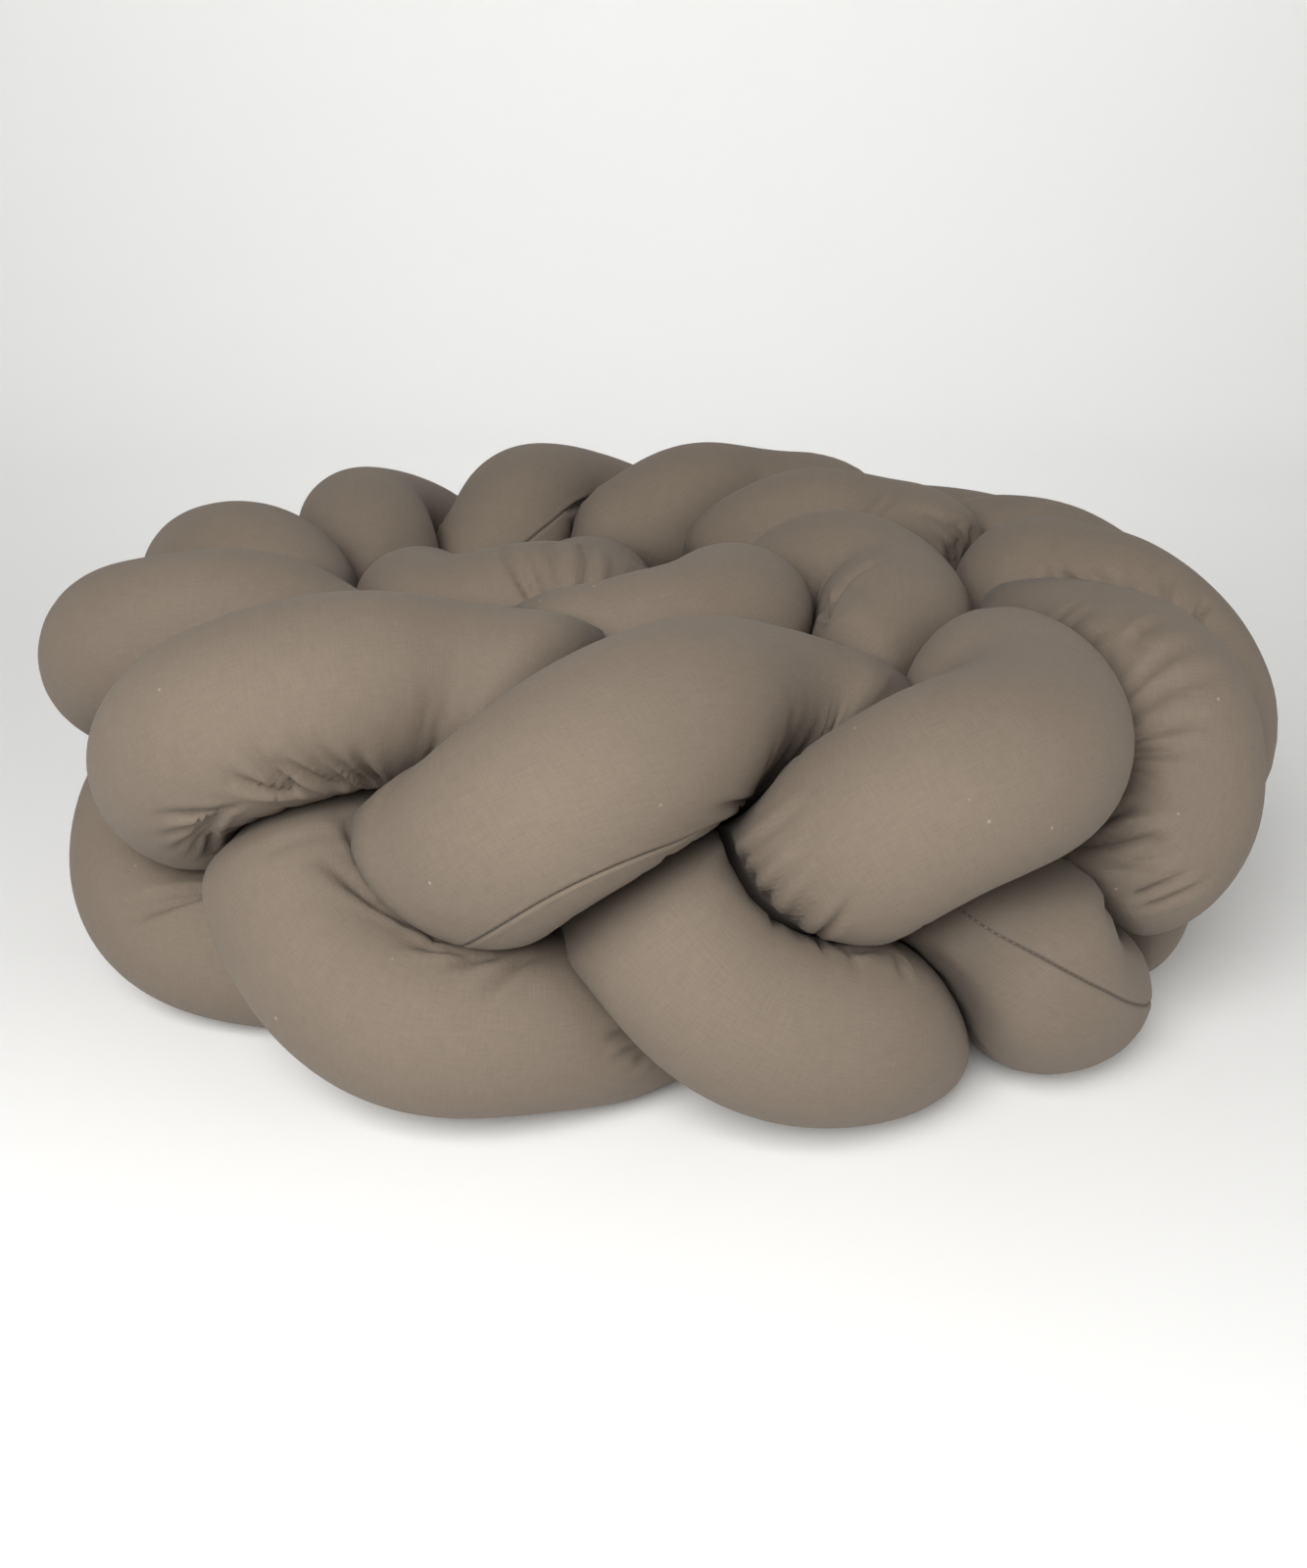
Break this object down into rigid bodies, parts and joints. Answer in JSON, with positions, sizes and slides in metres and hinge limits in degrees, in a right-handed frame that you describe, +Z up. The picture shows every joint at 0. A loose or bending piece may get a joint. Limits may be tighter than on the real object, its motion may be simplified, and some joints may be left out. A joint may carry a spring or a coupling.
{
  "type": "braided crib bumper",
  "caption": "Long stuffed cloth tubes worked into a thick flat plait, coiled on its edge into a low oval ring that fills its own middle.",
  "frame": {"origin": "on the floor, under the middle of the coil's bounding box", "axes": "+Z up from the floor, +X along the coil's longer side to the right, +Y towards the back of the coil"},
  "size_m": [0.6216, 0.5674, 0.2127],
  "materials": {
    "cloth": "plain woven cotton, warm grey-brown, soft and matt"
  },
  "bodies": {
    "root": {"tube_1": "cloth", "tube_2": "cloth", "tube_3": "cloth"}
  },
  "joints": []
}
